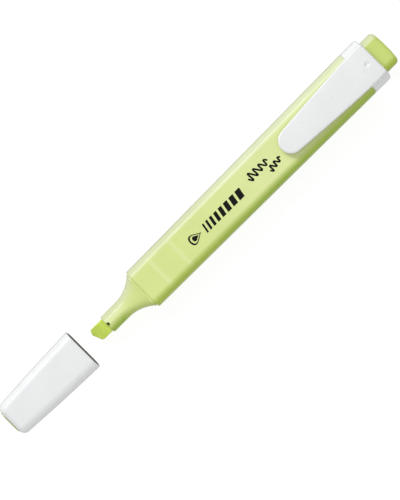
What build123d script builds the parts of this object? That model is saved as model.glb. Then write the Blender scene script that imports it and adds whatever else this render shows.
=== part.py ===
from build123d import *

import math
import os

# A flat pocket highlighter, with its cap pulled off and lying in line with the nib.
#
# Millimetres. +X runs along the pen towards the writing end, +Z is up, and the flat back of the
# barrel lies on z = 0. The origin is under the middle of the overall length. Places along the pen
# are given as "station" values: distances from the barrel's front shoulder, where the cap seats,
# positive towards the nib.

# ---- driving dimensions ----------------------------------------------------------------------

THICKNESS = 10.6  # barrel, collar and cap mouth, front to back
AXIS_Z = THICKNESS / 2
CORNER = 2.8  # radius between a broad face and a side
SIDE = 14.0  # radius of the bulge of each side
WALL = 1.2
RUNNING_GAP = 0.04  # between pieces that slide or plug into each other

BARREL_LENGTH = 92.5
FRONT_WIDTH = 14.44
REAR_WIDTH = 16.0
COLLAR_LENGTH = 6.6
COLLAR_WALL = 1.15
COLLAR_LIP = 0.9  # rear wall of the collar, which traps the end plug
PLUG_HEAD_LENGTH = 5.35
PLUG_HEAD_WIDTH = 12.3
PLUG_HEAD_THICKNESS = 8.2
FIBRE_WIDTH = 10.9  # the rod that holds the ink
FIBRE_THICKNESS = 6.3

NOSE_LENGTH = 15.1  # shoulder to the rim that the nib comes out of
NOSE_RADIUS = 3.1
FLARE_LENGTH = 8.9  # shoulder to where the nose is round
NIB_REACH = 20.8  # shoulder to the writing tip
NIB_WIDTH = 5.0
NIB_THICKNESS = 3.0
NIB_SLANT = 22.0  # degrees that the writing edge leans across the nib

CAP_LENGTH = 31.0
CAP_MOUTH_WIDTH = 14.7
CAP_END_WIDTH = 11.75
CAP_END_THICKNESS = 9.2
CAP_GAP = 4.8  # from the nib's tip to the mouth of the cap as it lies
CAP_END_WALL = 1.8
INSERT_PROUD = 0.35  # the coloured disc stands out of the cap's closed end

CLIP_REACH = 32.9  # collar's front edge to the clip's tip
CLIP_THICKNESS = 1.5
CLIP_GAP = 1.3  # under the clip, above the barrel
CLIP_ROOT_WIDTH = 11.6
CLIP_TIP_WIDTH = 7.9

# ---- worked out from them --------------------------------------------------------------------

MOUTH = NIB_REACH + CAP_GAP  # station of the cap's mouth as it lies
CAP_END = MOUTH + CAP_LENGTH
TAIL_LENGTH = BARREL_LENGTH + COLLAR_LENGTH + PLUG_HEAD_LENGTH
OVERALL = TAIL_LENGTH + CAP_END + INSERT_PROUD
SHOULDER_X = TAIL_LENGTH - OVERALL / 2
COLLAR_FRONT = -BARREL_LENGTH
COLLAR_REAR = COLLAR_FRONT - COLLAR_LENGTH
NECK_LENGTH = 5.0
NECK_WALL = 1.0
NECK_WIDTH = REAR_WIDTH - 2 * COLLAR_WALL - 2 * RUNNING_GAP
NECK_THICKNESS = THICKNESS - 2 * COLLAR_WALL - 2 * RUNNING_GAP
SPIGOT_LENGTH = 16.0
SNAP_STATION = -7.7  # middle of the ring that snaps the front section into the barrel
BARE_THICKNESS = THICKNESS - 2 * WALL


# ---- helpers ---------------------------------------------------------------------------------


def at(station):
    """The X of a station."""
    return SHOULDER_X + station


def across(station, shape):
    """A flat shape, drawn as (Y, Z) about the pen's axis, stood across the pen."""
    return Plane(origin=(at(station), 0, AXIS_Z), x_dir=(0, 1, 0), z_dir=(1, 0, 0)) * shape


def oblong(width, thickness, corner=CORNER, side=SIDE):
    """The pen's outline: flat faces, round corners and bulged sides, tangent all round."""
    lift = thickness / 2 - corner
    turn = math.asin(lift / (side - corner))
    reach = width / 2 - side + (side - corner) * math.cos(turn)

    def on_corner(angle):
        return (reach + corner * math.cos(angle), lift + corner * math.sin(angle))

    upper = [(reach, thickness / 2), on_corner((math.pi / 2 + turn) / 2), on_corner(turn)]
    lower = [(y, -z) for y, z in reversed(upper)]
    right = ThreePointArc(*upper) + ThreePointArc(*lower)
    right += ThreePointArc(upper[2], (width / 2, 0), lower[0])
    flats = Line((-reach, thickness / 2), upper[0]) + Line((-reach, -thickness / 2), lower[2])
    return make_face(right + mirror(right, Plane.YZ) + flats)


def bar(start, end, face):
    """A straight length of a cross-section, from one station to another."""
    return extrude(across(min(start, end), face), amount=abs(end - start))


def barrel_form(inset=0.0):
    """The barrel's outside, or its cavity when set in: wider to the rear, with flat broad faces."""
    half_front, half_rear = FRONT_WIDTH / 2 - inset, REAR_WIDTH / 2 - inset
    front_x, rear_x = at(0), at(COLLAR_FRONT)
    corners = [(front_x, -half_front), (front_x, half_front), (rear_x, half_rear)]
    plan = make_face(Polyline(*corners, (rear_x, -half_rear), close=True))
    slab = Pos(0, 0, inset) * extrude(plan, amount=THICKNESS - 2 * inset, dir=(0, 0, 1))
    lean = math.atan2(half_rear - half_front, BARREL_LENGTH)
    radius = SIDE - inset
    for side in (1, -1):
        middle_y = side * ((half_front + half_rear) / 2 - radius / math.cos(lean))
        middle = Vector((front_x + rear_x) / 2, middle_y, AXIS_Z)
        along = Vector(-math.cos(lean), side * math.sin(lean), 0)
        slab &= Plane(origin=middle, z_dir=along) * Cylinder(radius, 2 * BARREL_LENGTH)
    long_edges = [e for e in slab.edges() if e.length > 0.9 * BARREL_LENGTH]
    return fillet(long_edges, CORNER - inset)


def oval(half_width, half_thickness, power):
    """A closed superellipse: power 2 is an ellipse, and more is squarer."""
    points = []
    steps = 24
    for step in range(steps):
        angle = 2 * math.pi * step / steps
        y, z = math.cos(angle), math.sin(angle)
        points.append(
            (
                half_width * math.copysign(abs(y) ** (2 / power), y),
                half_thickness * math.copysign(abs(z) ** (2 / power), z),
            )
        )
    return make_face(Spline(*points, periodic=True))


def flare(base_station, inset=0.0):
    """The trumpet that joins the round nose to the flat body, set in by inset."""
    base_width, base_thickness, bend, squareness = 2.95, 1.15, 2.15, 1.4
    sections = []
    steps = 7
    for step in range(steps):
        done = step / (steps - 1)
        station = base_station + (FLARE_LENGTH - base_station) * done
        left = (1 - done) ** bend
        half_width = NOSE_RADIUS + base_width * left - inset
        half_thickness = NOSE_RADIUS + base_thickness * left - inset
        section = oval(half_width, half_thickness, 2 + squareness * (1 - done))
        sections.append(across(station, section))
    return loft(sections)


def end_edges(solid, station):
    """The edges of the flat end of a solid at a station."""
    return [e for e in solid.edges() if abs(e.center().X - at(station)) < 1e-3]


# ---- the pen ---------------------------------------------------------------------------------

SINK_STATIONS = (SNAP_STATION, -SPIGOT_LENGTH)  # over the snap ring and the spigot's end


def make_barrel():
    """The main tube: open front, ribs for the reservoir, and a neck for the clip collar."""
    shell = barrel_form()
    rim_radius = 0.35
    shell = fillet(end_edges(shell, 0), rim_radius)
    shell = fillet(end_edges(shell, COLLAR_FRONT), rim_radius)
    neck_end = COLLAR_FRONT - NECK_LENGTH
    shell += bar(neck_end, COLLAR_FRONT + WALL, oblong(NECK_WIDTH, NECK_THICKNESS, 1.7, 12))

    bulkhead = 1.5
    ahead_of_bulkhead = Rectangle(2 * REAR_WIDTH, 2 * THICKNESS)
    cavity = barrel_form(inset=WALL) & bar(COLLAR_FRONT + bulkhead, 0, ahead_of_bulkhead)
    shell -= cavity
    neck_bore = oblong(NECK_WIDTH - 2 * NECK_WALL, NECK_THICKNESS - 2 * NECK_WALL, 1.0, 11)
    shell -= bar(neck_end, COLLAR_FRONT + 2 * bulkhead, neck_bore)

    rib_width, rib_height, rib_pitch = 0.8, 0.72, 5.0
    rib_front, rib_rear = -SPIGOT_LENGTH - 2.0, COLLAR_FRONT + bulkhead
    for y in (-rib_pitch / 2, rib_pitch / 2):
        for face in (1, -1):
            z = face * (BARE_THICKNESS / 2 - rib_height / 2)
            rib = bar(rib_rear, rib_front, Pos(y, z) * Rectangle(rib_width, rib_height))
            shell += rib

    groove_width, groove_depth = 1.3, 0.3
    ring = oblong(FRONT_WIDTH - 2 * WALL + 2 * groove_depth, BARE_THICKNESS + 2 * groove_depth, 1.8, 13)
    shell -= bar(SNAP_STATION - groove_width / 2, SNAP_STATION + groove_width / 2, ring)

    sink_radius, sink_depth = 10, 0.02
    for station in SINK_STATIONS:
        for face in (1, -1):
            z = AXIS_Z + face * (THICKNESS / 2 + sink_radius - sink_depth)
            roller = Rot(90, 0, 0) * Cylinder(sink_radius, REAR_WIDTH)
            shell -= Pos(at(station), 0, z) * roller

    bead_radius, bead_stand = 0.4, 0.15
    for side in (1, -1):
        y = side * (NECK_WIDTH / 2 - bead_radius + bead_stand)
        bead = Cylinder(bead_radius, NECK_THICKNESS / 2)
        shell += Pos(at(COLLAR_FRONT - NECK_LENGTH / 2), y, AXIS_Z) * bead
    return shell


def make_front_section():
    """The nose that holds the nib and plugs into the front of the barrel."""
    land_width, land_thickness, land_length = 12.8, 8.7, 0.75
    land = bar(0, land_length, oblong(land_width, land_thickness, 1.9, 13))
    land = fillet(end_edges(land, land_length), 0.15)
    nose = bar(FLARE_LENGTH, NOSE_LENGTH, oval(NOSE_RADIUS, NOSE_RADIUS, 2))
    nose = fillet(end_edges(nose, NOSE_LENGTH), 0.4)
    section = land + flare(land_length) + nose

    inset = WALL + RUNNING_GAP
    spigot_width = FRONT_WIDTH - 2 * inset
    spigot_thickness = THICKNESS - 2 * inset
    corner, side = CORNER - inset, SIDE - inset
    section += bar(-SPIGOT_LENGTH, 0, oblong(spigot_width, spigot_thickness, corner, side))
    ring_width, ring_height = 1.2, 0.25
    ring = oblong(spigot_width + 2 * ring_height, spigot_thickness + 2 * ring_height, 1.75, 13)
    section += bar(SNAP_STATION - ring_width / 2, SNAP_STATION + ring_width / 2, ring)

    spigot_wall, tube_wall, tube_start, hollow_end = 1.0, 0.9, -9, 0.5
    hollow = oblong(spigot_width - 2 * spigot_wall, spigot_thickness - 2 * spigot_wall, 0.8, 12)
    tube_width, tube_thickness = NIB_WIDTH + 2 * tube_wall, NIB_THICKNESS + 2 * tube_wall
    nib_tube = bar(tube_start, hollow_end, oblong(tube_width, tube_thickness, 1.2, 9))
    section -= bar(-SPIGOT_LENGTH, hollow_end, hollow) - nib_tube

    bore = RectangleRounded(NIB_WIDTH + RUNNING_GAP, NIB_THICKNESS + RUNNING_GAP, 0.85)
    section -= bar(tube_start, NOSE_LENGTH, bore)
    vent_radius, notch_radius = 0.45, 0.7
    for face in (1, -1):
        groove = Pos(0, face * NIB_THICKNESS / 2) * Circle(vent_radius)
        section -= bar(tube_start, NOSE_LENGTH, groove)
        notch = Pos(at(NOSE_LENGTH), 0, AXIS_Z + face * NOSE_RADIUS) * Cylinder(
            notch_radius, NIB_THICKNESS
        )
        section -= notch
    return section


def make_nib():
    """The felt chisel: a slanted writing edge in front, and a point inside the reservoir."""
    rear, tail_taper = -21.5, 5.0
    felt = bar(rear, NIB_REACH, RectangleRounded(NIB_WIDTH, NIB_THICKNESS, 0.8))

    slope = math.tan(math.radians(NIB_SLANT))
    lead_y = -0.95  # where the writing edge reaches furthest forward
    half = NIB_WIDTH / 2
    chamfer = 0.75
    tip_x, tail_x = at(NIB_REACH), at(rear)
    heel_x = tip_x - slope * (half - lead_y)
    side_x = tip_x - chamfer
    blunt = 0.6
    plan = Polyline(
        (tail_x, -blunt),
        (tail_x + tail_taper, -half),
        (side_x, -half),
        (tip_x, lead_y),
        (heel_x, half),
        (tail_x + tail_taper, half),
        (tail_x, blunt),
        close=True,
    )
    outline = extrude(make_face(plan), amount=THICKNESS)
    soft_corners = [
        e
        for e in outline.edges().filter_by(Axis.Z)
        if e.center().X > side_x - 1e-3 or abs(e.center().X - heel_x) < 1e-3
    ]
    felt &= fillet(soft_corners, 0.45)

    edge_height, bevel_length = 0.35, 4.26
    low = AXIS_Z - NIB_THICKNESS / 2 + edge_height
    rise = NIB_THICKNESS - edge_height
    on_edge = Vector(tip_x + slope * lead_y, 0, low)
    edge_way = Vector(-slope, 1, 0)
    back_way = Vector(-bevel_length, 0, rise)
    upward = back_way.cross(edge_way).normalized()
    if upward.Z < 0:
        upward = upward * -1
    block = Pos(0, 0, 10) * Box(30, 30, 20)
    felt -= Plane(origin=on_edge, z_dir=upward) * block
    return felt


FIBRE_FRONT, FIBRE_REAR = -SPIGOT_LENGTH - 0.6, COLLAR_FRONT + 4.5


def fibre_outline(grown=0.0):
    """The fibre rod's cross-section, larger all round by grown."""
    corner, side = 2.5, 9.0
    width, thickness = FIBRE_WIDTH + 2 * grown, FIBRE_THICKNESS + 2 * grown
    return oblong(width, thickness, corner + grown, side + grown)


def make_reservoir(nib):
    """The fibre rod that holds the ink, with the nib's tail pushed into its front."""
    return bar(FIBRE_FRONT, FIBRE_REAR, fibre_outline()) - nib


def make_reservoir_film():
    """The thin plastic film wrapped round the fibre rod, just past it at both ends."""
    gap, film, overhang = 0.01, 0.15, 0.3
    section = fibre_outline(gap + film) - fibre_outline(gap)
    return bar(FIBRE_FRONT + overhang, FIBRE_REAR - overhang, section)


def make_end_plug():
    """The tail plug: a crowned head, a flange under the collar's lip, and a hollow spigot."""
    plug_end = COLLAR_REAR - PLUG_HEAD_LENGTH
    neck_end = COLLAR_FRONT - NECK_LENGTH
    flange_length = neck_end - COLLAR_REAR - COLLAR_LIP - RUNNING_GAP
    head = bar(plug_end, neck_end, oblong(PLUG_HEAD_WIDTH, PLUG_HEAD_THICKNESS, 2.4, 11))
    crown = 0.4
    half = PLUG_HEAD_WIDTH / 2
    arc = ThreePointArc((at(plug_end) + crown, -half), (at(plug_end), 0), (at(plug_end) + crown, half))
    sides = Polyline((at(plug_end) + crown, half), (at(neck_end), half), (at(neck_end), -half))
    plan = make_face(arc + sides + Line((at(neck_end), -half), (at(plug_end) + crown, -half)))
    head &= extrude(plan, amount=THICKNESS)
    rear_edges = [e for e in head.edges() if e.bounding_box().max.X < at(plug_end) + crown + 0.2]
    head = fillet(rear_edges, 1.1)

    flange = oblong(NECK_WIDTH, PLUG_HEAD_THICKNESS, 1.7, 12)
    plug = head + bar(neck_end - flange_length, neck_end, flange)
    spigot_width = NECK_WIDTH - 2 * NECK_WALL - 2 * RUNNING_GAP
    spigot_thickness = NECK_THICKNESS - 2 * NECK_WALL - 2 * RUNNING_GAP
    spigot_end = COLLAR_FRONT + 3.2
    plug += bar(neck_end, spigot_end, oblong(spigot_width, spigot_thickness, 0.96, 11))
    spigot_wall, floor = 0.9, 2.0
    hollow = RectangleRounded(
        spigot_width - 2 * spigot_wall, spigot_thickness - 2 * spigot_wall, 0.6
    )
    plug -= bar(neck_end - floor, spigot_end, hollow)
    return plug


# ---- the clip --------------------------------------------------------------------------------

CLIP_UNDER = THICKNESS + CLIP_GAP
CLIP_TOP = CLIP_UNDER + CLIP_THICKNESS
KNUCKLE_RADIUS = CLIP_THICKNESS / 2
KNUCKLE_STATION = COLLAR_FRONT - KNUCKLE_RADIUS  # the clip arm bends about this line
KNUCKLE_Z = CLIP_UNDER + KNUCKLE_RADIUS


def make_clip_collar():
    """The ring on the barrel's neck, its rear lip, and the raised base that the arm grows from."""
    ring = bar(COLLAR_REAR, COLLAR_FRONT, oblong(REAR_WIDTH, THICKNESS))
    ring = fillet(end_edges(ring, COLLAR_REAR), 0.7)
    ring = fillet(end_edges(ring, COLLAR_FRONT), 0.25)
    base_width = CLIP_ROOT_WIDTH
    base_height = CLIP_TOP - AXIS_Z - COLLAR_WALL
    step_back = 0.3
    base_length = COLLAR_LENGTH - step_back
    base = Box(base_length, base_width, base_height, align=(Align.MAX, Align.CENTER, Align.MAX))
    base = Pos(at(COLLAR_FRONT), 0, CLIP_TOP) * base
    long_edges = base.edges().filter_by(Axis.X).group_by(Axis.Z)[-1]
    rear_edge = base.edges().filter_by(Axis.Y).group_by(Axis.Z)[-1].sort_by(Axis.X)[0]
    base = fillet([*long_edges, rear_edge], 0.6)
    collar = ring + base

    inner_width = REAR_WIDTH - 2 * COLLAR_WALL
    inner_thickness = THICKNESS - 2 * COLLAR_WALL
    collar -= bar(COLLAR_REAR + COLLAR_LIP, COLLAR_FRONT, oblong(inner_width, inner_thickness, 1.65, 12))
    opening = oblong(PLUG_HEAD_WIDTH + 0.12, PLUG_HEAD_THICKNESS + 0.1, 2.45, 11)
    collar -= bar(COLLAR_REAR, COLLAR_REAR + COLLAR_LIP, opening)
    groove_radius, groove_stand = 0.45, 0.15
    for side in (1, -1):
        y = side * (NECK_WIDTH / 2 - groove_radius + groove_stand + 0.05)
        groove = Cylinder(groove_radius, NECK_THICKNESS / 2 + 0.2)
        collar -= Pos(at(COLLAR_FRONT - NECK_LENGTH / 2), y, AXIS_Z) * groove

    socket = Rot(90, 0, 0) * Cylinder(KNUCKLE_RADIUS + RUNNING_GAP, base_width)
    collar -= Pos(at(KNUCKLE_STATION), 0, KNUCKLE_Z) * socket
    slot_height = CLIP_TOP - CLIP_UNDER + 2 * RUNNING_GAP
    slot = Box(
        KNUCKLE_RADIUS, base_width, slot_height, align=(Align.MAX, Align.CENTER, Align.CENTER)
    )
    collar -= Pos(at(COLLAR_FRONT), 0, KNUCKLE_Z) * slot
    dimple_radius, dimple_depth = 2.2, 0.25
    dimple = Pos(at(COLLAR_FRONT - 3.3), 0, CLIP_TOP + dimple_radius - dimple_depth)
    collar -= dimple * Sphere(dimple_radius)
    return collar


def clip_half_width(reach):
    """Half the arm's width at a distance in front of the collar."""
    narrowing = (CLIP_ROOT_WIDTH - CLIP_TIP_WIDTH) / 2
    share = reach / (CLIP_REACH - CLIP_TIP_WIDTH / 2)
    return CLIP_ROOT_WIDTH / 2 - narrowing * (0.75 * share + 0.25 * share**2)


def make_clip_arm():
    """The tongue that holds the pen in a pocket, with a bead under its tip."""
    tip_centre = CLIP_REACH - CLIP_TIP_WIDTH / 2
    root = (at(COLLAR_FRONT), clip_half_width(0))
    middle = (at(COLLAR_FRONT + tip_centre / 2), clip_half_width(tip_centre / 2))
    shoulder = (at(COLLAR_FRONT + tip_centre), clip_half_width(tip_centre))
    tip = (at(COLLAR_FRONT + CLIP_REACH), 0)
    edge = ThreePointArc(root, middle, shoulder)
    mirrored = mirror(edge, Plane.XZ)
    nose = ThreePointArc(shoulder, tip, (shoulder[0], -shoulder[1]))
    back = Polyline(
        (root[0], -root[1]), (at(KNUCKLE_STATION), -root[1]), (at(KNUCKLE_STATION), root[1]), root
    )
    plan = make_face(edge + mirrored + nose + back)
    arm = Pos(0, 0, CLIP_UNDER) * extrude(plan, amount=CLIP_THICKNESS)
    top_edges = [
        e
        for e in arm.edges().group_by(Axis.Z)[-1]
        if e.bounding_box().max.X > at(COLLAR_FRONT) + 1
    ]
    arm = fillet(top_edges, 0.5)
    knuckle = Rot(90, 0, 0) * Cylinder(KNUCKLE_RADIUS, CLIP_ROOT_WIDTH)
    arm += Pos(at(KNUCKLE_STATION), 0, KNUCKLE_Z) * knuckle

    bead_radius, bead_clear, bead_length = 2.2, 0.12, 5.0
    bead_reach = CLIP_REACH - 4.6
    bead = Rot(90, 0, 0) * Cylinder(bead_radius, bead_length)
    bead = Pos(at(COLLAR_FRONT + bead_reach), 0, THICKNESS + bead_clear + bead_radius) * bead
    below = Pos(0, 0, CLIP_UNDER + KNUCKLE_RADIUS) * Box(
        OVERALL, REAR_WIDTH, THICKNESS, align=(Align.CENTER, Align.CENTER, Align.MAX)
    )
    return arm + (bead & below)


# ---- the cap, as it lies in front of the nib --------------------------------------------------

INSERT_WIDTH, INSERT_THICKNESS, INSERT_CORNER = 8.0, 5.4, 2.2


def make_cap_shell():
    """The outer cap: a tapering sleeve with a window for the disc in its closed end."""
    middle_width = (CAP_MOUTH_WIDTH + CAP_END_WIDTH) / 2 + 0.35
    middle_thickness = (THICKNESS + CAP_END_THICKNESS) / 2 + 0.12
    sections = [
        across(MOUTH, oblong(CAP_MOUTH_WIDTH, THICKNESS)),
        across(MOUTH + CAP_LENGTH / 2, oblong(middle_width, middle_thickness, 2.7, 13.5)),
        across(CAP_END, oblong(CAP_END_WIDTH, CAP_END_THICKNESS, 2.6, 13)),
    ]
    shell = loft(sections)
    shell = fillet(end_edges(shell, CAP_END), 1.8)
    shell = fillet(end_edges(shell, MOUTH), 0.2)

    floor = CAP_END - CAP_END_WALL
    hollow = [
        across(MOUTH, oblong(12.9, 8.8, 1.95, 13.05)),
        across(MOUTH + CAP_LENGTH / 2, oblong(11.7, 8.3, 1.8, 12.5)),
        across(floor, oblong(9.6, 7.5, 1.6, 12)),
    ]
    shell -= loft(hollow)
    lead_in = [across(MOUTH, oblong(13.7, 9.6, 2.3, 13.4)), across(MOUTH + 0.6, oblong(12.8, 8.7, 1.9, 13))]
    shell -= loft(lead_in)
    window = RectangleRounded(INSERT_WIDTH + 0.06, INSERT_THICKNESS + 0.06, INSERT_CORNER)
    return shell - bar(floor, CAP_END, window)


def make_inner_cap():
    """The sealing tube inside the cap, on the disc that shows at the cap's closed end."""
    tube_front, tube_rear, floor = MOUTH + 8.5, MOUTH + 23.8, CAP_END - CAP_END_WALL
    bore_radius, tube_wall, dome = 3.35, 0.5, 0.9
    stem_radius, plate_thickness = 2.6, 0.9
    disc_face = RectangleRounded(INSERT_WIDTH, INSERT_THICKNESS, INSERT_CORNER)
    disc = bar(floor, CAP_END + INSERT_PROUD, disc_face)
    disc = fillet(end_edges(disc, CAP_END + INSERT_PROUD), 0.1)
    plate = bar(floor - plate_thickness, floor, oblong(9.2, 7.0, 1.5, 11.5))
    stem = bar(tube_rear - dome, floor - plate_thickness, Circle(stem_radius))
    tube = bar(tube_front, tube_rear, Circle(bore_radius + tube_wall))
    tube = fillet(end_edges(tube, tube_rear), 0.6)
    bore = bar(tube_front, tube_rear - dome, Circle(bore_radius))
    lead_in = Plane(origin=(at(tube_front), 0, AXIS_Z), z_dir=(1, 0, 0)) * Cone(
        bore_radius + 0.35, bore_radius, 0.7, align=(Align.CENTER, Align.CENTER, Align.MIN)
    )
    seal_station, seal_length = tube_front + 2.2, 0.8
    seal = bar(
        seal_station,
        seal_station + seal_length,
        Circle(bore_radius + 0.1) - Circle(NOSE_RADIUS + RUNNING_GAP),
    )
    return (tube - bore - lead_in) + seal + stem + plate + disc


# ---- write every piece -----------------------------------------------------------------------


def main():
    nib = make_nib()
    pieces = {
        "barrel": make_barrel(),
        "front_section": make_front_section(),
        "writing_nib": nib,
        "ink_reservoir": make_reservoir(nib),
        "reservoir_film": make_reservoir_film(),
        "end_plug": make_end_plug(),
        "clip_collar": make_clip_collar(),
        "clip_arm": make_clip_arm(),
        "cap_shell": make_cap_shell(),
        "inner_cap": make_inner_cap(),
    }
    os.makedirs("parts", exist_ok=True)
    for name, piece in pieces.items():
        export_step(piece, f"parts/{name}.step")


main()
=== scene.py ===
import math

import bmesh
import bpy
import numpy as np
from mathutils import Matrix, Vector, noise


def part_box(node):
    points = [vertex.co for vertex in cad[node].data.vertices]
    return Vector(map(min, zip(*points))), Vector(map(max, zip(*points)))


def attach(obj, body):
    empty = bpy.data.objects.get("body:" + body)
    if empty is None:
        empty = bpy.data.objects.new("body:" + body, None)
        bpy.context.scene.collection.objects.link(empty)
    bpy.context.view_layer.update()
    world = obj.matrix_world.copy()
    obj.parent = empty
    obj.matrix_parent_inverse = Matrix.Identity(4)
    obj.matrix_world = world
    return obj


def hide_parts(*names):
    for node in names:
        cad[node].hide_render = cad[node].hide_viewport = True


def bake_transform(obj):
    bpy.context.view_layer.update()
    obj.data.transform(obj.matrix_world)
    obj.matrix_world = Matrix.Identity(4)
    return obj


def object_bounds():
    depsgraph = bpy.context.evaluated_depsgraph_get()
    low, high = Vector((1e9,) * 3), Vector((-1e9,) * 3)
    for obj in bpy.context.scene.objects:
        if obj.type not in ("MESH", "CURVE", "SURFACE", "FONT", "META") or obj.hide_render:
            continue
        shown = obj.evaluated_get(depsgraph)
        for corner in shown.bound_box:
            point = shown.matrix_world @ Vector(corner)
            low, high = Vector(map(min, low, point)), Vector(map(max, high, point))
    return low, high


# A flat pocket highlighter lying on its back, with its cap off, seen squarely from above.
# Lengths are millimetres until a mesh is made; Blender's metres come from MM. +X runs towards the
# writing end and +Z is up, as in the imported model, whose pieces keep their places.

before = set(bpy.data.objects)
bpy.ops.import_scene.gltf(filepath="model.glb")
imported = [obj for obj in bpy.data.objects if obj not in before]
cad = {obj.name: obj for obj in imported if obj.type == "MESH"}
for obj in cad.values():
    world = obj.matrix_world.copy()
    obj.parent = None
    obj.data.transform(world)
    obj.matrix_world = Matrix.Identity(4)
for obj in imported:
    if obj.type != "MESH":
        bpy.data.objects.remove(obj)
cad_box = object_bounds()
MM = 0.001


def node_box(node):
    """The lowest and highest corners of a CAD node, in millimetres."""
    return tuple(Vector(corner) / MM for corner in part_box(node))


SHOULDER = node_box("barrel")[1].x  # where the cap seats, at the barrel's front
THICKNESS = node_box("barrel")[1].z
AXIS_Z = THICKNESS / 2
COLLAR_REAR = node_box("clip_collar")[0].x
COLLAR_FRONT = node_box("clip_collar")[1].x
CLIP_TIP = node_box("clip_arm")[1].x
CLIP_TOP = node_box("clip_collar")[1].z
RIM = node_box("front_section")[1].x  # the end of the nose, which the nib comes out of
NIB_REAR = node_box("writing_nib")[0].x
NIB_TIP = node_box("writing_nib")[1].x


# ---- shapes as distances, and their skins ----------------------------------------------------


def rounded_both(a, b, radius):
    """The distance to what two shapes share, with the edge between them rounded."""
    corner = np.hypot(np.maximum(a + radius, 0), np.maximum(b + radius, 0))
    return np.minimum(np.maximum(a, b), -radius) + corner


def rounded_either(a, b, radius):
    """The distance to two shapes joined, with the corner between them filled to a radius."""
    corner = np.hypot(np.maximum(radius - a, 0), np.maximum(radius - b, 0))
    return np.maximum(np.minimum(a, b), radius) - corner


def oblong(y, z, width, thickness, corner, side):
    """The distance to the pen's outline: flat faces, bulged sides and round corners."""
    y, z = np.abs(y), np.abs(z)
    centre = width / 2 - side
    lift = thickness / 2 - corner
    reach = centre + math.sqrt((side - corner) ** 2 - lift**2)
    beyond = (y > reach) & (z * (reach - centre) > lift * (y - centre))
    faces = np.maximum(z - lift, np.hypot(y - centre, z) - (side - corner))
    return np.where(beyond, np.hypot(y - reach, z - lift), faces) - corner


def slopes(distance, points):
    """The direction in which the distance grows fastest at each point."""
    step = 0.01
    found = []
    for axis in range(3):
        shift = np.zeros(3)
        shift[axis] = step
        found.append(distance(*(points + shift).T) - distance(*(points - shift).T))
    return np.stack(found, axis=1) / (2 * step)


def settle(distance, points, longest):
    """Moves points onto the surface where the distance is zero, by at most longest at a time."""
    rounds, least_slope = 4, 0.05
    for _ in range(rounds):
        slope = slopes(distance, points)
        length = np.maximum((slope**2).sum(axis=1), least_slope)
        move = np.clip(distance(*points.T) / length, -longest, longest)
        points = points - move[:, None] * slope
    return points


def grid_quads(inside, index):
    """One four-sided face round each edge of the grid that the surface crosses."""
    quads = []
    size = inside.shape
    for axis in range(3):
        u, v = (axis + 1) % 3, (axis + 2) % 3
        near = [slice(1, n - 1) for n in size]
        near[axis] = slice(0, size[axis] - 1)
        far = list(near)
        far[axis] = slice(1, size[axis])
        start, end = inside[tuple(near)], inside[tuple(far)]
        for crossing, order in ((start & ~end, 1), (end & ~start, -1)):
            cell = np.argwhere(crossing)
            cell[:, u] += 1
            cell[:, v] += 1
            ring = []
            for du, dv in ((-1, -1), (0, -1), (0, 0), (-1, 0)):
                corner = cell.copy()
                corner[:, u] += du
                corner[:, v] += dv
                ring.append(index[tuple(corner.T)])
            quads.append(np.stack(ring[::order], axis=1))
    return np.concatenate(quads)


def relax(points, quads, distance, cell):
    """Evens out the spacing of a skin's points without leaving the surface."""
    rounds = 3
    edges = np.concatenate([quads[:, [i, (i + 1) % 4]] for i in range(4)])
    for _ in range(rounds):
        total = np.zeros_like(points)
        count = np.zeros(len(points))
        for here, there in ((0, 1), (1, 0)):
            np.add.at(total, edges[:, here], points[edges[:, there]])
            np.add.at(count, edges[:, here], 1)
        points = settle(distance, (points + total / count[:, None]) / 2, cell)
    return points


def skin(name, distance, low, high, cell):
    """A closed mesh of the surface where distance(x, y, z) is zero."""
    margin = 2 * cell
    axes = [np.arange(a - margin, b + margin + cell, cell) for a, b in zip(low, high)]
    inside = distance(*np.meshgrid(*axes, indexing="ij")) < 0
    corners = np.zeros([n - 1 for n in inside.shape], int)
    for di in (0, 1):
        for dj in (0, 1):
            for dk in (0, 1):
                ni, nj, nk = corners.shape
                corners += inside[di : ni + di, dj : nj + dj, dk : nk + dk]
    mixed = (corners > 0) & (corners < 8)
    index = np.full(mixed.shape, -1)
    index[mixed] = np.arange(mixed.sum())
    cells = np.argwhere(mixed)
    start = np.array([axis[0] for axis in axes])
    points = settle(distance, start + (cells + 0.5) * cell, cell)
    quads = grid_quads(inside, index)
    points = relax(points, quads, distance, cell)
    return mesh_object(name, points, quads.tolist())


def mesh_object(name, points, faces):
    """A smooth-shaded object from points in millimetres."""
    mesh = bpy.data.meshes.new(name)
    mesh.from_pydata((np.asarray(points) * MM).tolist(), [], faces)
    mesh.validate()
    mesh.shade_smooth()
    made = bpy.data.objects.new(name, mesh)
    bpy.context.scene.collection.objects.link(made)
    return made


# ---- materials -------------------------------------------------------------------------------


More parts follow.
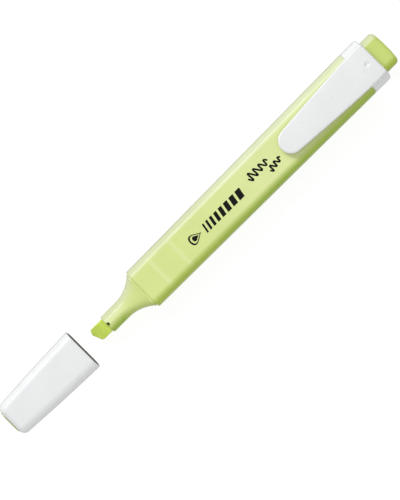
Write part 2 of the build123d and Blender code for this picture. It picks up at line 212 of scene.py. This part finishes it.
class Shader:
    """A material's node tree, with short ways to add and join its nodes."""

    def __init__(self, name):
        self.material = bpy.data.materials.new(name)
        self.material.use_nodes = True
        self.nodes = self.material.node_tree.nodes
        self.links = self.material.node_tree.links
        self.surface = self.nodes["Principled BSDF"]
        coordinates = self.nodes.new("ShaderNodeTexCoord")
        self.place, self.facing = coordinates.outputs["Object"], coordinates.outputs["Normal"]

    def add(self, kind, inputs=None, **settings):
        """A new node, with its settings, and its inputs set or linked."""
        made = self.nodes.new(kind)
        for key, value in settings.items():
            setattr(made, key, value)
        for key, value in (inputs or {}).items():
            if isinstance(value, bpy.types.NodeSocket):
                self.links.new(value, made.inputs[key])
            else:
                made.inputs[key].default_value = value
        return made

    def stretched(self, scale):
        """Object coordinates, multiplied along each axis."""
        inputs = {"Vector": self.place, "Scale": scale}
        return self.add("ShaderNodeMapping", inputs).outputs["Vector"]

    def noise(self, size, detail=2.0, where=None):
        """Noise whose lumps are about size millimetres across."""
        inputs = {"Vector": where or self.place, "Scale": 1 / (size * MM), "Detail": detail}
        return self.add("ShaderNodeTexNoise", inputs).outputs["Fac"]

    def coordinate(self, vector, axis):
        """One coordinate of a place or a direction."""
        return self.add("ShaderNodeSeparateXYZ", {"Vector": vector}).outputs[axis]

    def ramp(self, value, low, high, to_low, to_high, kind="LINEAR"):
        """A value carried from one range to another, and held at its ends."""
        inputs = {"Value": value, "From Min": low, "From Max": high}
        inputs |= {"To Min": to_low, "To Max": to_high}
        return self.add("ShaderNodeMapRange", inputs, interpolation_type=kind).outputs["Result"]

    def mix(self, factor, first, second):
        """The first colour at a factor of 0 and the second at 1."""
        factor_socket, first_socket, second_socket, colour_out = 0, 6, 7, 2
        inputs = {factor_socket: factor, first_socket: first, second_socket: second}
        return self.add("ShaderNodeMix", inputs, data_type="RGBA").outputs[colour_out]

    def tint(self, colour, factor):
        """A colour made brighter or darker by a factor near 1."""
        hsv = self.add("ShaderNodeHueSaturation", {"Color": colour, "Value": factor})
        return hsv.outputs["Color"]

    def maths(self, operation, first, second):
        """A sum or the like of two numbers."""
        made = self.add("ShaderNodeMath", {0: first, 1: second}, operation=operation)
        return made.outputs["Value"]

    def vector_maths(self, operation, first, second, output="Vector"):
        """A sum, product or distance of two vectors."""
        made = self.add("ShaderNodeVectorMath", {0: first, 1: second}, operation=operation)
        return made.outputs[output]

    def bump(self, height, depth, under=None):
        """A bump of a depth in millimetres, over another one where under is given."""
        inputs = {"Height": height, "Distance": depth * MM, "Strength": 1.0}
        if under is not None:
            inputs["Normal"] = under
        return self.add("ShaderNodeBump", inputs).outputs["Normal"]

    def finish(self, linked, plain):
        """Links or sets the surface's own sockets, and gives the material."""
        for key, value in linked.items():
            self.links.new(value, self.surface.inputs[key])
        for key, value in plain.items():
            self.surface.inputs[key].default_value = value
        return self.material


def band(shader, along, middle, width, soft):
    """1 inside a band across the pen, 0 outside, with soft edges."""
    away = shader.maths("ABSOLUTE", shader.maths("SUBTRACT", along, middle * MM), 0.0)
    return shader.ramp(away, width / 2 * MM, (width / 2 + soft) * MM, 1.0, 0.0, "SMOOTHSTEP")


def moulded_surface(shader, roughness):
    """The satin skin of moulded plastic: fine grain over slow waves, and uneven gloss."""
    wave_depth, grain_depth = 0.003, 0.0004
    gloss = shader.ramp(shader.noise(6.0, 3.0), 0.3, 0.7, roughness - 0.04, roughness + 0.05)
    waves = shader.bump(shader.noise(4.0, 1.0), wave_depth)
    grain = shader.bump(shader.noise(0.3, 2.0), grain_depth, waves)
    return {"Roughness": gloss, "Normal": grain}


LIME = (0.66, 0.76, 0.25, 1)  # the barrel's front, and the next colour a painted sheen that pales its rear, also used for its sink marks
LIME_SHEEN_AND_MARKS = (0.70, 0.79, 0.32, 1)
# the plug's lime, darkened as painted shade
LIME_PLUG_SHADED = (0.55, 0.67, 0.15, 1)
LIME_FLARE = (0.65, 0.75, 0.25, 1)
# a painted highlight on the nose
LIME_NOSE_HIGHLIGHT = (0.75, 0.83, 0.35, 1)
# the inner cap's lime, darkened as painted shade at the cap's closed end
LIME_INSERT_SHADED = (0.27, 0.37, 0.05, 1)
LIME_SHADED_SIDE = (0.46, 0.62, 0.045, 1)  # painted shade for the side away from the light, and the next colour painted light for the near one
LIME_LIT_SIDE = (0.62, 0.675, 0.395, 1)
TAIL_SHADED_SIDE = (0.39, 0.57, 0.028, 1)  # the same painted shade and painted light, towards the barrel's tail
TAIL_LIT_SIDE = (0.655, 0.71, 0.45, 1)
# painted shade in the nose's vent notch and on the felt behind it
VENT_SHADE = (0.025, 0.04, 0.001, 1)
WHITE_CLOUDS = ((0.79, 0.80, 0.804, 1), (0.815, 0.825, 0.83, 1))
# painted light for the white's side facing +Y
WHITE_PAINTED_LIGHT = (0.92, 0.925, 0.93, 1)
# painted shade inside the hollow cap
CAP_PAINTED_SHADE = (0.13, 0.13, 0.125, 1)
NIB_INKS = ((0.615, 0.75, 0.13, 1), (0.47, 0.62, 0.065, 1))  # fresh, then dark
FIBRE_INKS = ((0.6, 0.75, 0.15, 1), (0.45, 0.6, 0.08, 1))
PRINT_BLACKS = ((0.004, 0.005, 0.004, 1), (0.012, 0.014, 0.011, 1))

SINK_MARKS = (-7.7, -16.0)  # faint pale bands over the snap ring and the end of the spigot
SHEEN_START_LENGTH, SHEEN_FULL_LENGTH = 18, 52  # painted sheen pales the barrel between these distances from its shoulder


def barrel_tone(shader, colour):
    """Painted sheen pales the barrel towards the tail, its sink marks are paler, and its sides'
    painted light and shade differ more there.
    """
    mark_width, mark_edge, mark_strength = 0.9, 0.5, 0.95
    along = shader.coordinate(shader.place, "X")
    starts, ends = (SHOULDER - SHEEN_START_LENGTH) * MM, (SHOULDER - SHEEN_FULL_LENGTH) * MM
    # painted sheen, stronger towards the tail, and the paler sink marks
    tailward = sheen_and_marks = shader.ramp(along, ends, starts, 1.0, 0.0)
    for station in SINK_MARKS:
        mark = band(shader, along, SHOULDER + station, mark_width, mark_edge)
        sheen_and_marks = shader.maths("MAXIMUM", sheen_and_marks, shader.maths("MULTIPLY", mark, mark_strength))
    shaded_side = shader.mix(tailward, LIME_SHADED_SIDE, TAIL_SHADED_SIDE)
    lit_side = shader.mix(tailward, LIME_LIT_SIDE, TAIL_LIT_SIDE)
    return shader.mix(sheen_and_marks, colour, LIME_SHEEN_AND_MARKS), {"shaded_side": shaded_side, "lit_side": lit_side}


def nose_tone(shader, colour):
    """A painted highlight pales the nose towards its rim, its painted side shade is stronger there,
    and painted shade darkens its notch.
    """
    along = shader.coordinate(shader.place, "X")
    forward = shader.ramp(along, (RIM - 10) * MM, (RIM - 5) * MM, 0.0, 1.0)
    # painted highlight, paler towards the rim
    colour = shader.mix(forward, colour, LIME_NOSE_HIGHLIGHT)
    # painted shade round the vent notch
    notch = ((RIM - 0.3) * MM, 0.1 * MM, (AXIS_Z + 2.9) * MM)
    notch_radius, notch_edge = 0.6, 0.2
    away = shader.vector_maths("DISTANCE", shader.place, notch, "Value")
    notch_shade = shader.ramp(away, notch_radius * MM, (notch_radius + notch_edge) * MM, 1.0, 0.0)
    # the painted side shade is weaker at the flare
    shade_at_flare = 0.25
    depth = shader.ramp(forward, 0.0, 1.0, shade_at_flare, 1.0)
    return shader.mix(notch_shade, colour, VENT_SHADE), {"depth": depth, "shaded_side": TAIL_SHADED_SIDE}


def lime_plastic(name, colour, tone=None):
    """Lime plastic, paler down the side that the light comes from and deeper down the other."""
    shader = Shader(name)
    colour, changed = tone(shader, colour) if tone else (colour, {})
    sides = {"depth": 1.0, "shaded_side": LIME_SHADED_SIDE, "lit_side": LIME_LIT_SIDE} | changed
    aside = shader.coordinate(shader.facing, "Y")
    # painted shade down the side facing +Y, then painted light down the side facing -Y
    colour = shader.mix(shader.ramp(aside, 0.0, 0.8, 0.0, sides["depth"]), colour, sides["shaded_side"])
    colour = shader.mix(shader.ramp(aside, 0.0, -0.55, 0.0, 1.0), colour, sides["lit_side"])
    cloud = shader.ramp(shader.noise(9.0, 2.0), 0.3, 0.7, 0.97, 1.015)
    colour = shader.tint(colour, cloud)
    linked = {"Base Color": colour} | moulded_surface(shader, 0.4)
    return shader.finish(linked, {"Coat Weight": 0.6, "Coat Roughness": 0.16, "IOR": 1.49})


def white_plastic(name, hollow=False):
    """Opaque white plastic, a little cooler than the floor, with painted light on its side facing
    +Y, and painted shade inside where it is hollow.
    """
    shader = Shader(name)
    cloud = shader.ramp(shader.noise(8.0, 2.0), 0.3, 0.7, 0.0, 1.0)
    colour = shader.mix(cloud, *WHITE_CLOUDS)
    aside = shader.coordinate(shader.facing, "Y")
    # painted light on the side facing +Y
    colour = shader.mix(shader.ramp(aside, 0.15, 0.55, 0.0, 1.0), colour, WHITE_PAINTED_LIGHT)
    if hollow:
        from_axis = shader.vector_maths("ADD", shader.place, (0, 0, -AXIS_Z * MM))
        outwards = shader.vector_maths("MULTIPLY", from_axis, (0, 1, 1))
        facing_out = shader.vector_maths("DOT_PRODUCT", outwards, shader.facing, "Value")
        # painted shade on faces turned in towards the cap's hollow
        inside = shader.ramp(facing_out, -0.5 * MM, -1.0 * MM, 0.0, 1.0)
        colour = shader.mix(inside, colour, CAP_PAINTED_SHADE)
    linked = {"Base Color": colour} | moulded_surface(shader, 0.30)
    return shader.finish(linked, {"Coat Weight": 0.7, "Coat Roughness": 0.3, "IOR": 1.49})


def inked_felt(name, inks, shaded_to=None):
    """Fibres along the pen, with painted light on faces turned towards +X, and, where an end is
    given, painted shade on the felt behind it inside the nose.
    """
    shader = Shader(name)
    fresh, dark = inks
    fibres = shader.noise(0.16, 4.0, shader.stretched((0.22, 1.0, 1.0)))
    patches = shader.maths("MULTIPLY", shader.noise(1.4, 2.0), 0.3)
    both = shader.maths("ADD", shader.maths("MULTIPLY", fibres, 0.7), patches)
    colour = shader.mix(shader.ramp(both, 0.36, 0.64, 0.0, 1.0), dark, fresh)
    # painted light on faces turned towards +X
    tip_facing_light = shader.coordinate(shader.facing, "X")
    colour = shader.tint(colour, shader.ramp(tip_facing_light, 0.1, 0.45, 1.0, 1.22))
    if shaded_to is not None:
        # painted shade on the felt inside the nose, seen through the notch
        along, edge = shader.coordinate(shader.place, "X"), 0.25
        felt_shade = shader.ramp(along, (shaded_to - edge) * MM, shaded_to * MM, 1.0, 0.0)
        colour = shader.mix(felt_shade, colour, VENT_SHADE)
    linked = {
        "Base Color": colour,
        "Roughness": shader.ramp(fibres, 0.3, 0.7, 0.7, 0.95),
        "Normal": shader.bump(fibres, 0.03),
    }
    return shader.finish(linked, {"Sheen Weight": 0.25, "Sheen Roughness": 0.5})


def clear_film(name):
    """Thin clear film with fine creases along the pen."""
    shader = Shader(name)
    creases = shader.noise(0.8, 3.0, shader.stretched((0.3, 1.0, 1.0)))
    linked = {
        "Base Color": shader.mix(creases, (0.82, 0.9, 0.8, 1), (0.92, 0.96, 0.9, 1)),
        "Roughness": shader.ramp(creases, 0.3, 0.7, 0.08, 0.2),
        "Normal": shader.bump(creases, 0.02),
    }
    return shader.finish(linked, {"Transmission Weight": 0.85, "IOR": 1.49})


def printed_ink(name):
    """Matt black pad print, a little uneven in cover."""
    shader = Shader(name)
    cover = shader.noise(0.25, 3.0)
    linked = {
        "Base Color": shader.mix(cover, *PRINT_BLACKS),
        "Roughness": shader.ramp(cover, 0.3, 0.7, 0.7, 0.85),
        "Normal": shader.bump(cover, 0.001),
    }
    return shader.finish(linked, {"Specular IOR Level": 0.12})


def paint(piece, material):
    """Gives a piece one material in place of any it has."""
    piece.data.materials.clear()
    piece.data.materials.append(material)


# ---- the clip and its collar, one moulding ----------------------------------------------------

RING_WIDTH = 15.99  # a hair narrower than the CAD's, so that the skin stays inside its box
CLIP_ROOT_HALF = 5.8
CLIP_TIP_RADIUS = 3.95
CLIP_THICKNESS = 1.5
CLIP_CROWN = 0.25  # how far the top falls from its middle to the edges of the root


def tongue_distance(x, y, z):
    """The distance to the arm and the raised base behind it, over the barrel's top face."""
    reach = x - COLLAR_FRONT
    tip_centre = CLIP_TIP - COLLAR_FRONT - CLIP_TIP_RADIUS
    share = np.clip(reach / tip_centre, 0, 1.1)
    half = CLIP_ROOT_HALF - (CLIP_ROOT_HALF - CLIP_TIP_RADIUS) * (0.75 * share + 0.25 * share**2)
    tip = np.hypot(reach - tip_centre, y) - CLIP_TIP_RADIUS
    plan = np.where(reach > tip_centre, tip, np.abs(y) - half)
    top = CLIP_TOP - CLIP_CROWN * (y / CLIP_ROOT_HALF) ** 2
    tongue = rounded_both(plan, z - top, 0.5)
    step_back = 0.3
    tongue = rounded_both(tongue, COLLAR_REAR + step_back - x, 0.6)
    below_arm = rounded_both(COLLAR_FRONT - x, z - (CLIP_TOP - CLIP_THICKNESS), 0.4)
    tongue = rounded_both(tongue, -below_arm, 0.25)
    sunk_in_ring = 1
    return np.maximum(tongue, THICKNESS - sunk_in_ring - z)


def bead_distance(x, y, z):
    """The distance to the rounded bead under the arm's tip, which all but touches the barrel."""
    radius, clear, half_length, from_tip = 2.2, 0.15, 2.5, 4.6
    bead = np.hypot(x - (CLIP_TIP - from_tip), z - (THICKNESS + clear + radius)) - radius
    bead = rounded_both(bead, np.abs(y) - half_length, 0.4)
    return np.maximum(bead, z - (CLIP_TOP - CLIP_THICKNESS / 2))


def clip_distance(x, y, z):
    """The distance to the whole moulding: the collar, its raised base, the arm and its bead."""
    high = z - AXIS_Z
    ring = rounded_both(oblong(y, high, RING_WIDTH, THICKNESS, 2.8, 14.0), COLLAR_REAR - x, 0.9)
    ring = rounded_both(ring, x - COLLAR_FRONT, 0.25)
    tongue = rounded_either(tongue_distance(x, y, z), bead_distance(x, y, z), 0.4)
    body = rounded_either(ring, tongue, 0.5)

    rear_wall = 0.9
    bore = np.maximum(oblong(y, high, 13.7, 8.3, 1.65, 12.0), COLLAR_REAR + rear_wall - x)
    plug_opening = oblong(y, high, 12.42, 8.3, 2.45, 11.0)
    body = rounded_both(body, -np.minimum(bore, plug_opening), 0.12)

    dimple_radius, dimple_depth, from_front = 1.1, 0.35, 3.3
    dimple_z = CLIP_TOP + dimple_radius - dimple_depth
    flat_away = (x - (COLLAR_FRONT - from_front)) ** 2 + y**2
    dimple = np.sqrt(flat_away + (z - dimple_z) ** 2) - dimple_radius
    return rounded_both(body, -dimple, 0.08)


def make_clip():
    """One moulding in place of the CAD's collar and arm, whose arm flexes where they meet on the
    real pen.
    """
    half_width, cell = 8.0, 0.2
    low, high = (COLLAR_REAR, -half_width, 0.0), (CLIP_TIP, half_width, CLIP_TOP)
    clip = skin("clip_moulding", clip_distance, low, high, cell)
    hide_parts("clip_collar", "clip_arm")
    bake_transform(clip)
    return clip


# ---- the nib ---------------------------------------------------------------------------------

NIB_WIDTH, NIB_THICKNESS = 5.0, 3.0
NIB_SLANT = math.radians(22)
NIB_LEAD = -0.95  # the writing edge reaches furthest here


def nib_distance(x, y, z):
    """The distance to the chisel: a rounded bar cut by a slanted end and a bevel."""
    high = z - AXIS_Z
    felt = rounded_both(np.abs(y) - NIB_WIDTH / 2, np.abs(high) - NIB_THICKNESS / 2, 0.8)
    blunt, tail_taper, tail_steepness = 0.6, 5.0, 1.07
    tail = np.abs(y) - blunt - (x - NIB_REAR) * (NIB_WIDTH / 2 - blunt) / tail_taper
    felt = rounded_both(rounded_both(felt, tail / tail_steepness, 0.2), NIB_REAR - x, 0.2)

    slope, worn = math.tan(NIB_SLANT), 0.15
    cut = (x - NIB_TIP + slope * (y - NIB_LEAD)) * math.cos(NIB_SLANT)
    corner_slope, corner_cosine = 0.48, 0.9
    corner = (x - NIB_TIP + corner_slope * (NIB_LEAD - y)) * corner_cosine
    felt = rounded_both(rounded_both(felt, cut, worn), corner, worn)

    edge_height, bevel_length = 0.35, 4.26
    rise = NIB_THICKNESS - edge_height
    bevel_width = math.hypot(rise, bevel_length)
    run = x - NIB_TIP + slope * (y - NIB_LEAD) + bevel_length
    bevel = (high - NIB_THICKNESS / 2) * bevel_length / bevel_width + run * (rise / bevel_width)
    return rounded_both(felt, bevel, 0.25)


def raise_fibres(mesh):
    """Roughens the felt, mostly inwards: long fine fibres over a few soft lumps."""
    shrink, fuzz = 0.03, 0.035
    fibre_share, lump_share = 0.6, 0.4
    places = np.empty(len(mesh.vertices) * 3, np.float32)
    normals = np.empty_like(places)
    mesh.vertices.foreach_get("co", places)
    mesh.vertex_normals.foreach_get("vector", normals)
    places = places.reshape(-1, 3) / MM
    rise = []
    for place in places:
        fibre = noise.noise(Vector((place[0] * 1.2, place[1] * 5.0, place[2] * 5.0)))
        lump = noise.noise(Vector(place) * 1.1)
        rise.append(fuzz * (fibre_share * fibre + lump_share * lump) - shrink)
    places += normals.reshape(-1, 3) * np.array(rise)[:, None]
    mesh.vertices.foreach_set("co", (places * MM).ravel())
    mesh.update()


def make_nib():
    """The felt chisel, in place of the CAD's."""
    half, cell = NIB_WIDTH / 2, 0.14
    low = (NIB_REAR, -half, AXIS_Z - NIB_THICKNESS / 2)
    high = (NIB_TIP, half, AXIS_Z + NIB_THICKNESS / 2)
    nib = skin("felt_nib", nib_distance, low, high, cell)
    raise_fibres(nib.data)
    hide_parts("writing_nib")
    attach(nib, "pen")
    return nib


# ---- the print on the barrel ------------------------------------------------------------------

INK_LIFT = 0.02  # the print stands this far above the barrel's face, and reaches as far into it


def print_slab(name, ribbons):
    """Flat ribbons of ink on the barrel's top face, each a list of pairs of points, side by side."""
    shapes = bmesh.new()
    foot = (THICKNESS - INK_LIFT) * MM
    for ribbon in ribbons:
        rungs = []
        for rung in ribbon:
            rungs.append([shapes.verts.new((x * MM, y * MM, foot)) for x, y in rung])
        for here, there in zip(rungs, rungs[1:]):
            shapes.faces.new((here[0], there[0], there[1], here[1]))
    bmesh.ops.remove_doubles(shapes, verts=shapes.verts, dist=0.001 * MM)
    # tops and walls are made one by one, as an extrude lists them in a new order each run
    rise = Vector((0, 0, 2 * INK_LIFT * MM))
    raised = {vert: shapes.verts.new(vert.co + rise) for vert in shapes.verts[:]}
    rims = [edge for edge in shapes.edges if edge.is_boundary]
    for face in shapes.faces[:]:
        shapes.faces.new([raised[vert] for vert in face.verts])
    for edge in rims:
        here, there = edge.verts
        shapes.faces.new((here, there, raised[there], raised[here]))
    bmesh.ops.recalc_face_normals(shapes, faces=shapes.faces)
    mesh = bpy.data.meshes.new(name)
    shapes.to_mesh(mesh)
    shapes.free()
    made = bpy.data.objects.new(name, mesh)
    bpy.context.scene.collection.objects.link(made)
    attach(made, "pen")
    return made


def drop_point(turn, scale):
    """A point on the outline of an ink drop that lies along the pen, its tip to the tail."""
    half_length, half_belly = 2.4, 1.3
    middle_x, middle_y = SHOULDER - 22.6, 0.35
    x = middle_x + scale * half_length * math.sin(turn)
    return x, middle_y + scale * half_belly * math.cos(turn) * (1 + math.sin(turn))


def ink_drop():
    """A drop in outline, with a smaller solid drop inside it."""
    inner_edge, core_size = 0.76, 0.5
    turns = np.linspace(-math.pi / 2, 1.5 * math.pi, 65)
    outline = [(drop_point(turn, 1.0), drop_point(turn, inner_edge)) for turn in turns]
    halves = np.linspace(-math.pi / 2, math.pi / 2, 25)[1:-1]
    core = [(drop_point(turn, core_size), drop_point(math.pi - turn, core_size)) for turn in halves]
    return [outline, core]


def width_bars():
    """A scale of slanted bars that get broader, like the lines that the nib can draw."""
    ribbons = []
    near, gap, head, foot, lean = SHOULDER - 26.1, 0.78, -1.15, 1.9, 0.55
    bars, narrowest, growth = 8, 0.6, 0.2
    for step in range(bars):
        far = near - (narrowest + growth * step)
        ribbons.append([((near - lean, head), (near, foot)), ((far - lean, head), (far, foot))])
        near = far - gap
    return ribbons


def scribble(start, end, height, waves):
    """A slanted wavy stroke between two points, its waves getting lower, thin where it turns."""
    start, end = Vector(start), Vector(end)
    points = []
    steps = waves * 16
    fading, slant = 0.4, -0.35
    for step in range(steps + 1):
        share = step / steps
        offset = height * (1 - fading * share) * math.sin(share * waves * 2 * math.pi)
        points.append(start.lerp(end, share) + Vector((slant * offset, offset)))
    rungs = []
    thin, thicker = 0.19, 0.11
    for step, point in enumerate(points):
        way = (points[min(step + 1, steps)] - points[max(step - 1, 0)]).normalized()
        half_width = thin + thicker * abs(way.y)
        side = Vector((way.y, -way.x)) * half_width
        rungs.append((point - side, point + side))
    return rungs


def make_print():
    """Plain marks where the pen's maker would print a badge and names."""
    first = scribble((SHOULDER - 46.2, -0.9), (SHOULDER - 54.4, -0.9), 1.45, 4)
    second = scribble((SHOULDER - 52.8, 1.9), (SHOULDER - 57.8, 1.2), 1.05, 3)
    return print_slab("print_marks", ink_drop() + width_bars() + [first, second])


# ---- floor, lights and camera -----------------------------------------------------------------


def make_floor():
    """A pale card, in metres, a hair below the pen's back and turned up at its edges."""
    half, low, upstand = 1.5, -0.0001, 0.12
    sides = ((-half, -half), (half, -half), (half, half), (-half, half))
    corners = [(x, y, z) for z in (low, upstand) for x, y in sides]
    walls = [(i, i + 4, (i + 1) % 4 + 4, (i + 1) % 4) for i in range(4)]
    floor = mesh_object("floor", np.array(corners) / MM, [(0, 1, 2, 3)] + walls)
    floor.data.shade_flat()
    floor.visible_glossy = False  # so that the pen's edges stay clear against it
    shader = Shader("floor_card")
    grain = shader.noise(3.0, 4.0)
    linked = {
        "Base Color": shader.mix(grain, (0.19, 0.19, 0.19, 1), (0.22, 0.22, 0.22, 1)),
        "Roughness": shader.ramp(grain, 0.3, 0.7, 0.85, 0.95),
    }
    paint(floor, shader.finish(linked, {"Emission Color": (1, 1, 1, 1), "Emission Strength": 0.86}))


def area_light(name, place, size, power, glossy=True):
    """A rectangular lamp aimed at the origin, in metres and watts."""
    data = bpy.data.lights.new(name, "AREA")
    data.shape = "RECTANGLE"
    data.energy = power
    data.size, data.size_y = size
    lamp = bpy.data.objects.new(name, data)
    lamp.location = place
    lamp.rotation_euler = (-Vector(place)).to_track_quat("-Z", "Y").to_euler()
    lamp.visible_glossy = glossy
    bpy.context.scene.collection.objects.link(lamp)


def make_lights():
    """Soft light all round and from above, and more of it from the pen's -Y side."""
    world = bpy.data.worlds.new("studio")
    world.use_nodes = True
    background = world.node_tree.nodes["Background"].inputs
    background["Color"].default_value = (1, 1, 1, 1)
    background["Strength"].default_value = 0.4
    bpy.context.scene.world = world
    area_light("overhead", place=(0.05, 0, 1.18), size=(1.4, 1.4), power=4.4)
    area_light("key", place=(0, -0.54, 0.56), size=(0.12, 0.12), power=1.5, glossy=False)
    area_light("side", place=(0, -0.56, 0.54), size=(0.5, 0.3), power=1.9)


def make_camera():
    """A long lens straight above the pen, turned so that the pen crosses the frame."""
    lens, height, turn = 180, 0.7652, math.radians(134.94)
    aside_x, aside_y = 0.0029, 0.0039
    low, high = cad_box
    middle = (Vector(low) + Vector(high)) / 2
    data = bpy.data.cameras.new("camera")
    data.lens = lens
    data.clip_start = 0.05
    camera = bpy.data.objects.new("camera", data)
    camera.location = (middle.x + aside_x, middle.y + aside_y, height)
    camera.rotation_euler = (0, 0, turn)
    bpy.context.scene.collection.objects.link(camera)
    bpy.context.scene.camera = camera
    bpy.context.scene.view_settings.view_transform = "Standard"


# ---- put it together --------------------------------------------------------------------------

make_camera()
make_floor()
make_lights()

paint(cad["barrel"], lime_plastic("lime_barrel", LIME, barrel_tone))
paint(cad["end_plug"], lime_plastic("lime_plug", LIME_PLUG_SHADED))
paint(cad["front_section"], lime_plastic("lime_nose", LIME_FLARE, nose_tone))
paint(cad["inner_cap"], lime_plastic("lime_insert", LIME_INSERT_SHADED))
paint(cad["cap_shell"], white_plastic("white_cap", hollow=True))
paint(cad["ink_reservoir"], inked_felt("inked_fibre", FIBRE_INKS))
paint(cad["reservoir_film"], clear_film("clear_film"))
paint(make_clip(), white_plastic("white_plastic"))
paint(make_nib(), inked_felt("inked_felt", NIB_INKS, shaded_to=RIM))
paint(make_print(), printed_ink("printed_ink"))
